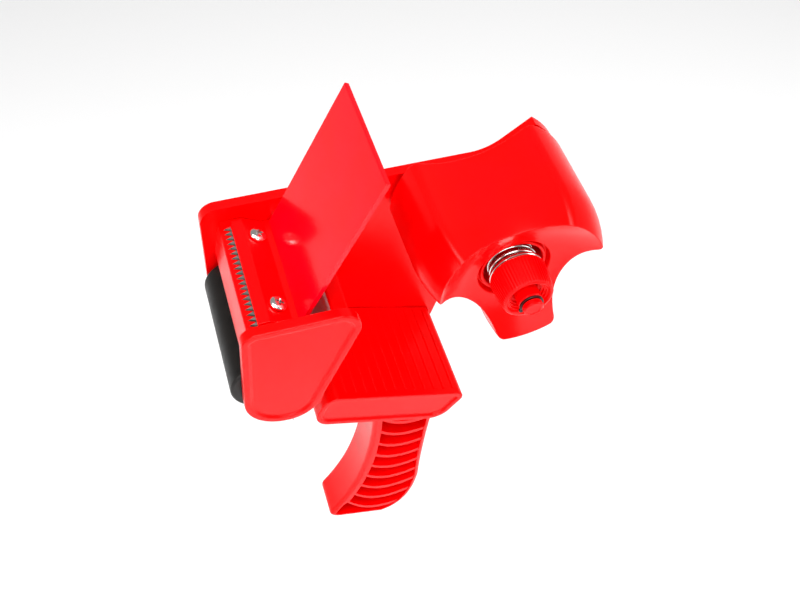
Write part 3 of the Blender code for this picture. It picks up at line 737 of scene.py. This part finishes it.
def hub_point(angle, radius, y):
    """A world point from an angle, a radius and a y in mm."""
    return Vector(
        (HUB.x + radius * MM * math.cos(angle), y * MM,
         HUB.z + radius * MM * math.sin(angle))
    )


def side_radius(angle, y):
    outer = star_radius(angle)
    return outer - nose_taper(y) * outer / HUB_RADIUS


def face_edge(angle):
    """Radius and y in mm where the dished face meets the side."""
    radius = side_radius(angle, HUB_RIM_Y)
    for _ in range(12):
        radius = side_radius(angle, face_y(radius))
    return radius, face_y(radius)


def make_hub():
    angles = hub_angles()
    edges = [face_edge(a) for a in angles]
    far_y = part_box("hub")[1][1] / MM
    rings = []
    for share in (0, 0.2, 0.4, 0.6, 0.8, 1):
        ring = []
        for a, (edge, _) in zip(angles, edges):
            radius = RECESS_RADIUS + (edge - RECESS_RADIUS) * share
            ring.append(hub_point(a, radius, face_y(radius)))
        rings.append(ring)
    for share in (0.15, 0.35, 0.6, 0.8, 1):
        ring = []
        for a, (_, start) in zip(angles, edges):
            y = start + (HUB_STRAIGHT_Y - start) * share
            ring.append(hub_point(a, side_radius(a, y), y))
        rings.append(ring)
    for y in (6, far_y):
        rings.append([hub_point(a, star_radius(a), y) for a in angles])
    inner = [
        (16, far_y),
        (16, 4),
        (9.5, 4),
        (9.5, far_y),
        (6.8, far_y),
        (6.8, -4.6),
        (12, -4.6),
        (12, HUB_RIM_Y + 1.6),
        (12.6, HUB_RIM_Y + 1.0),
        (13.5, HUB_RIM_Y + 1.0),
        (13.5, HUB_RIM_Y + 3.2),
        (RECESS_RADIUS - 0.5, HUB_RIM_Y + 3.2),
        (RECESS_RADIUS - 0.2, HUB_RIM_Y + 0.8),
    ]
    for radius, y in inner:
        rings.append([hub_point(a, radius, y) for a in angles])
    hub = object_of("hub_moulding", loft(rings, True), RED)
    bevel(hub, 0.7, 4, angle=34)
    piece(hub, "hub", "hub")


def make_stud():
    low, high = map(Vector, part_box("hub_stud"))
    tip, far = low.y / MM, high.y / MM
    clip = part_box("retaining_clip")
    groove_near, groove_far = clip[0][1] / MM - 0.2, clip[1][1] / MM + 0.2
    profile = [
        (0.3, tip + 0.35),
        (2.6, tip + 0.3),
        (2.9, tip),
        (3.5, tip),
        (4.0, tip + 0.5),
        (4.0, groove_near),
        (3.3, groove_near),
        (3.3, groove_far),
        (4.3, groove_far),
        (4.8, groove_far + 0.5),
        (4.8, far),
        (0.5, far),
    ]
    place = (HUB.x, 0, HUB.z)
    stud = object_of("spindle", turned(profile, place, closed=False), RED)
    piece(stud, "frame", "hub_stud")


def make_clip():
    """An open ring with a pierced eye at each end of its gap."""
    clip_low, clip_high = map(Vector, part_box("retaining_clip"))
    hub_x, hub_z = HUB.x / MM, HUB.z / MM
    middle, opening = math.radians(250), math.radians(40)
    start, end = middle + opening, middle + 2 * math.pi - opening
    outline = arc(hub_x, hub_z, 4.75, start, end) + arc(hub_x, hub_z, 3.5, end, start)
    clip = object_of("circlip", prism(outline, clip_low.y, clip_high.y), BLACKENED)
    for angle in (start, end):
        centre = hub_point(angle, 4.55, clip_low.y / MM)
        thick = (clip_high.y - clip_low.y) / MM
        eye = turned([(0.95, 0), (0.95, thick)], centre, UP_Y, False, 32)
        combine(clip, eye, "UNION")
        drill(clip, centre - UP_Y * MM, UP_Y, 0.42, 4, 24)
    bevel(clip, 0.12, 2, angle=50)
    piece(clip, "frame", "retaining_clip")


def make_nut():
    """The tension knob: fine ribs outside, four fine steps down its mouth."""
    low, high = map(Vector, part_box("tension_nut"))
    front, rear = low.y / MM, high.y / MM
    profile = [
        (5.1, rear, 0),
        (10.4, rear, 0),
        (11.0, rear - 0.3, 0.4),
        (11.3, rear - 0.8, 1),
        (10.95, rear - 4.2, 1),
        (10.6, rear - 8.4, 1),
        (10.2, front + 0.9, 1),
        (9.9, front + 0.3, 0.4),
        (9.4, front, 0),
        (8.9, front, 0),
        (8.5, front + 0.4, 0),
    ]
    for i in range(4):
        profile.append((8.3 - 0.65 * i, front + 1.4 + 1.0 * i, 0))
        profile.append((7.7 - 0.65 * i, front + 1.5 + 1.0 * i, 0))
    profile.append((5.1, front + 5.0, 0))
    per_rib = 6
    steps = NUT_RIBS * per_rib
    rings = []
    for radius, y, ribbed in profile:
        ring = []
        for i in range(steps):
            wave = 0.12 * ribbed * math.cos(2 * math.pi * i / per_rib)
            ring.append(hub_point(2 * math.pi * i / steps, radius + wave, y))
        rings.append(ring)
    nut = object_of("tension_knob", loft(rings, True), NUT_RED)
    piece(nut, "tension_nut", "tension_nut", smooth=40)


def make_spring():
    """Round wire wound between the two washers."""
    low, high = map(Vector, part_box("tension_spring"))
    wire, turns, per_turn = 0.7 * MM, 3.5, 40
    near, far = low.y + wire, high.y - wire
    count = round(turns * per_turn)
    rings = []
    for i in range(count + 1):
        share = i / count
        angle = 2 * math.pi * turns * share
        outward = Vector((math.cos(angle), 0, math.sin(angle)))
        ease = share - 0.035 * math.sin(2 * math.pi * share)
        centre = Vector((HUB.x, near + (far - near) * ease, HUB.z)) + outward * 9.6 * MM
        ring = []
        for k in range(14):
            a = 2 * math.pi * k / 14
            ring.append(centre + (outward * math.cos(a) + UP_Y * math.sin(a)) * wire)
        rings.append(ring)
    spring = object_of("wire_spring", loft(rings, False), CHROME)
    settle(spring)
    spring.data.shade_smooth()
    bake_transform(spring)
    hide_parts("tension_spring")


def make_washer(name, node, body, inner, outer, material):
    low, high = map(Vector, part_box(node))
    near, far = low.y / MM, high.y / MM
    profile = [(inner, near), (outer - 0.2, near), (outer, near + 0.2),
               (outer, far - 0.2), (outer - 0.2, far), (inner, far)]
    washer = object_of(name, turned(profile, (HUB.x, 0, HUB.z)), material)
    piece(washer, body, node)


# Base block and grip --------------------------------------------------------------------


def make_base():
    low, high = map(Vector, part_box("base_block"))
    outline = filleted(
        [
            (*on_base(-32, BASE_TOP), 7),
            (*on_base(34.5, BASE_TOP), 3.5),
            (*on_base(28, BASE_BOTTOM), 9),
            (*on_base(-33.5, BASE_BOTTOM), 7),
        ]
    )
    bm = prism(outline, low.y, high.y)
    dished_near_face(bm, 2.2 * MM, 0.9 * MM, 0.9)
    block = object_of("base_moulding", bm, RED)
    bevel(block, 0.7, angle=28)
    hollow = [(-15, 7, 2), (13, 7, 2), (13, -1.5, 2), (-15, -1.5, 2)]
    hollow = filleted([(*on_base(a, b), r) for a, b, r in hollow])
    combine(block, prism(hollow, low.y + 4 * MM, high.y + 5 * MM))
    piece(block, "frame", "base_block")


def make_base_ribs():
    """Fine raised ribs across the base block's top, under the tape roll."""
    low, high = map(Vector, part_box("base_block"))
    first, last = -23.0, 28.0
    for i in range(BASE_TOP_RIBS):
        along = first + (last - first) * i / (BASE_TOP_RIBS - 1)
        half, rise = 0.5, 0.45
        top = [
            (along + half * math.cos(a), BASE_TOP - 0.05 + rise * math.sin(a))
            for a in [math.radians(v) for v in range(0, 181, 20)]
        ]
        outline = [(along + half, BASE_TOP - 0.5), *top, (along - half, BASE_TOP - 0.5)]
        outline = [on_base(a, b) for a, b in outline]
        bm = prism(outline, low.y + 3 * MM, high.y - 2 * MM)
        rib = object_of(f"base_top_rib_{i + 1:02d}", bm, RED)
        piece(rib, "frame")


def grip_outline():
    under = BASE_BOTTOM - 0.3
    front_top = on_base(-1.2, under)
    back_top = on_base(31, under)
    heel, toe = (22.8, -20.0), (-22.8, -37.0)
    points = bezier(front_top, (0.6, -3.0), toe, 24)
    points += bezier(toe, (-26.0, -42.6), (-17.2, -44.9), 12)
    points += bezier((-17.2, -44.9), (-8, -47.5), (3.0, -50.6), 4)
    points += bezier((3.0, -50.6), (19.5, -48.5), heel, 18)
    points += bezier(heel, (23.2, 5.0), back_top, 14)
    points.append(back_top)
    return points


def grip_rib(index):
    """One rib's outline, sagging between the grip's front and back."""
    depth = -22.0 - index * GRIP_RIB_PITCH
    steps = 40
    middle = GRIP_RIB_MIDDLE + GRIP_RIB_SHIFT * index
    upper = []
    for i in range(steps + 1):
        along = middle - GRIP_RIB_REACH + 2 * GRIP_RIB_REACH * i / steps
        bend = GRIP_RIB_SAG * (((along - middle) / 13) ** 2 - 1)
        upper.append(on_base(along, depth + bend))
    lower = [(x, z - GRIP_RIB_THICKNESS) for x, z in reversed(upper)]
    return upper + lower


def make_grip():
    outline = grip_outline()
    low, high = map(Vector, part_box("grip"))
    grip = object_of("grip_moulding", prism(outline, low.y, high.y), RED)
    bevel(grip, 2.3, 6, angle=60)
    front = range(GRIP_FRONT_FIRST, GRIP_FRONT_LAST + 1)
    walls = [GRIP_FRONT_WALL if i in front else GRIP_WALL for i in range(len(outline))]
    hollow = prism(inset(outline, walls), low.y - MM, high.y - GRIP_WEB * MM)
    combine(grip, hollow)
    limit = inset(outline, [wall / 2 for wall in walls])
    for i in range(GRIP_RIBS):
        rib = object_of("rib", prism(grip_rib(i), low.y - MM, high.y + MM))
        combine(rib, prism(limit, low.y + 0.4 * MM, high.y - 2 * MM), "INTERSECT")
        bm = bmesh.new()
        bm.from_mesh(rib.data)
        bpy.data.objects.remove(rib, do_unlink=True)
        combine(grip, bm, "UNION")
    piece(grip, "frame", "grip")


# Carried-over nodes, stage, camera --------------------------------------------------------


def dress_nodes():
    """Gives the nodes that stay as they are their procedural finish."""
    finishes = {
        "cheek_pin": CHROME,
        "roller_axle": CHROME,
        "grip_screw_1": CHROME,
        "grip_screw_2": CHROME,
        "hub_bush": DARK_PLASTIC,
    }
    for node, material in finishes.items():
        mesh = frame["nodes"][node].data
        mesh.materials.clear()
        mesh.materials.append(material)


def make_stage():
    floor = bpy.data.meshes.new("floor")
    reach, height = 4.0, CAD_BOX[0][2] - FLOOR_DROP
    corners = [(-reach, -reach, height), (reach, -reach, height),
               (reach, reach, height), (-reach, reach, height)]
    floor.from_pydata(corners, [], [(0, 1, 2, 3)])
    material, shader = new_material("pale floor", (0.93, 0.93, 0.93), 0.9)
    shader.inputs["Specular IOR Level"].default_value = 0.1
    floor.materials.append(material)
    floor = bpy.data.objects.new("floor", floor)
    bpy.context.scene.collection.objects.link(floor)


def area_light(name, place, target, size, power):
    light = bpy.data.lights.new(name, "AREA")
    light.shape = "SQUARE"
    light.size = size
    light.energy = power
    obj = bpy.data.objects.new(name, light)
    obj.location = place
    aim = Vector(target) - Vector(place)
    obj.rotation_euler = aim.to_track_quat("-Z", "Y").to_euler()
    bpy.context.scene.collection.objects.link(obj)


def make_lights():
    centre = (0.015, 0, 0.11)
    area_light("top box", (-0.1, -0.25, 1.3), centre, 1.0, 21)
    area_light("left box", (-1.1, -0.35, 0.45), centre, 0.7, 6)
    area_light("right box", (1.1, -0.45, 0.55), centre, 0.7, 7)
    area_light("front box", (-0.1, -1.2, 0.35), centre, 0.8, 8)
    world = bpy.data.worlds.new("studio")
    world.use_nodes = True
    background = world.node_tree.nodes["Background"]
    background.inputs["Color"].default_value = (1, 1, 1, 1)
    background.inputs["Strength"].default_value = WORLD_STRENGTH
    bpy.context.scene.world = world
    bpy.context.scene.view_settings.view_transform = "Standard"


def make_camera():
    azimuth, elevation = CAMERA_AZIMUTH, CAMERA_ELEVATION
    ahead = Vector((-math.sin(azimuth) * math.cos(elevation),
                    math.cos(azimuth) * math.cos(elevation), -math.sin(elevation)))
    level = Vector((math.cos(azimuth), math.sin(azimuth), 0))
    above = level.cross(ahead)
    right = math.cos(CAMERA_ROLL) * level + math.sin(CAMERA_ROLL) * above
    up = -math.sin(CAMERA_ROLL) * level + math.cos(CAMERA_ROLL) * above
    camera = bpy.data.cameras.new("camera")
    camera.lens = CAMERA_LENS
    camera.sensor_width = 36
    camera.clip_start = 0.01
    obj = bpy.data.objects.new("camera", camera)
    obj.matrix_world = Matrix.Translation(CAMERA_AT) @ Matrix(
        (right, up, -ahead)).transposed().to_4x4()
    bpy.context.scene.collection.objects.link(obj)
    bpy.context.scene.camera = obj


make_camera()
make_side_plate()
make_head()
make_clamp()
make_flap()
make_blade()
make_roller()
make_screws()
make_hub()
make_stud()
make_clip()
make_nut()
make_spring()
make_washer("pressure_washer", "thrust_washer", "thrust_washer", 5.1, 11.0, CHROME)
make_washer("spring_seat", "friction_washer", "hub", 5.1, 11.2, CHROME)
make_washer("spacer_washer", "back_washer", "frame", 5.1, 9.5, DARK_PLASTIC)
make_base()
make_base_ribs()
make_grip()
dress_nodes()
make_stage()
make_lights()
